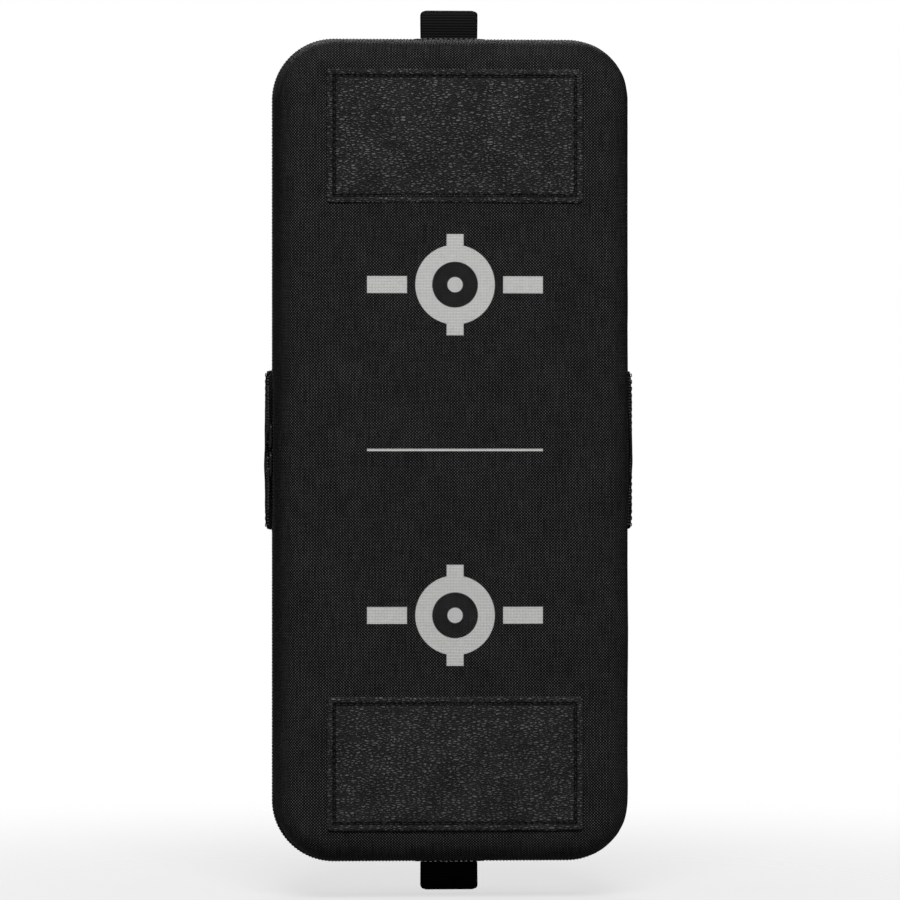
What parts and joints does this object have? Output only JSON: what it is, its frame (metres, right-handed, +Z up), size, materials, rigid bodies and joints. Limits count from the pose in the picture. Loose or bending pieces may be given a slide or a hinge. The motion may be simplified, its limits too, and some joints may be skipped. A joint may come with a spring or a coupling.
{
  "type": "kick shield",
  "caption": "Soft zipped training shield for kick practice, with padded strike panels, ribbed grip pads, side hand grips and a webbing loop at each end.",
  "frame": {"origin": "the point inside the upper webbing loop where a hook bears, with the shield hanging upright", "axes": "+Z up along the shield's length, -Y out of the strike face, +Y out of the ribbed grip pads, +X to the right as the strike face is seen"},
  "size_m": [0.2466, 0.1202, 0.5869],
  "materials": {
    "ballistic_fabric": "coarse woven polyester, matte",
    "synthetic_leather": "pebbled, low sheen",
    "moulded_rubber": "moulded, satin",
    "webbing": "ribbed polyester webbing",
    "piping": "corded piping, low sheen",
    "zip_tape": "knitted tape",
    "zip_coil": "nylon coil, semi-gloss",
    "zip_metal": "black enamelled zinc",
    "lining": "plain weave lining",
    "soft_foam": "open-cell foam",
    "dense_foam": "closed-cell foam",
    "board": "sheet plastic"
  },
  "bodies": {
    "back_half": {"back_shell": "ballistic_fabric", "back_zip_tape": "zip_tape", "back_zip_coil": "zip_coil", "back_rim_binding": "webbing", "back_rim_piping": "piping", "back_lining": "lining", "hold_foam": "soft_foam", "backing_board": "board", "palm_foam": "soft_foam", "centre_foam": "soft_foam", "spine_gusset": "zip_tape", "upper_grip_pad_zip_side": "moulded_rubber", "lower_grip_pad_zip_side": "moulded_rubber", "upper_grip_pad_hinge_side": "moulded_rubber", "lower_grip_pad_hinge_side": "moulded_rubber", "hinge_side_grip_seam_tape": "webbing", "zip_side_grip_seam_tape": "webbing", "upper_loop_anchor": "webbing", "lower_loop_anchor": "webbing"},
    "front_half": {"front_shell": "ballistic_fabric", "front_zip_tape": "zip_tape", "front_zip_coil": "zip_coil", "front_rim_binding": "webbing", "front_rim_piping": "piping", "front_lining": "lining", "absorber_foam": "soft_foam", "strike_foam": "dense_foam", "upper_strike_panel": "synthetic_leather", "upper_panel_padding": "soft_foam", "lower_strike_panel": "synthetic_leather", "lower_panel_padding": "soft_foam"},
    "hinge_side_grip": {"hinge_side_grip_cover": "ballistic_fabric", "hinge_side_grip_padding": "soft_foam", "hinge_side_grip_piping": "piping"},
    "zip_side_grip": {"zip_side_grip_cover": "ballistic_fabric", "zip_side_grip_padding": "soft_foam", "zip_side_grip_piping": "piping"},
    "upper_loop": {"upper_loop": "webbing"},
    "lower_loop": {"lower_loop": "webbing"},
    "upper_slider": {"upper_zip_slider": "zip_metal"},
    "lower_slider": {"lower_zip_slider": "zip_metal"},
    "upper_pull": {"upper_zip_pull": "zip_metal"},
    "lower_pull": {"lower_zip_pull": "zip_metal"}
  },
  "joints": [
    {"name": "front_half_opening", "type": "hinge", "parent": "back_half", "child": "front_half", "pos_m": [0.1145, -0.015, -0.29185], "axis": [0, 0, 1], "range_deg": [0, 110], "deforming": ["spine_gusset"]},
    {"name": "hinge_side_grip_lift", "type": "hinge", "parent": "back_half", "child": "hinge_side_grip", "pos_m": [0.11635, 0.02118, -0.29185], "axis": [0, 0, 1], "range_deg": [0, 75]},
    {"name": "zip_side_grip_lift", "type": "hinge", "parent": "back_half", "child": "zip_side_grip", "pos_m": [-0.11635, 0.02118, -0.29185], "axis": [0, 0, -1], "range_deg": [0, 75]},
    {"name": "upper_loop_fold", "type": "hinge", "parent": "back_half", "child": "upper_loop", "pos_m": [0, 0, -0.0161], "axis": [1, 0, 0], "range_deg": [-60, 60]},
    {"name": "lower_loop_fold", "type": "hinge", "parent": "back_half", "child": "lower_loop", "pos_m": [0, 0, -0.5676], "axis": [1, 0, 0], "range_deg": [-60, 60]},
    {"name": "upper_slider_travel", "type": "slide", "parent": "back_half", "child": "upper_slider", "axis": [0, 0, 1], "range_m": [0, 0.212]},
    {"name": "lower_slider_travel", "type": "slide", "parent": "back_half", "child": "lower_slider", "axis": [0, 0, -1], "range_m": [0, 0.212]},
    {"name": "upper_pull_swing", "type": "hinge", "parent": "upper_slider", "child": "upper_pull", "pos_m": [-0.12085, -0.015, -0.27995], "axis": [0, -1, 0], "range_deg": [0, 105]},
    {"name": "lower_pull_swing", "type": "hinge", "parent": "lower_slider", "child": "lower_pull", "pos_m": [-0.12085, -0.015, -0.30375], "axis": [0, 1, 0], "range_deg": [0, 105]}
  ]
}
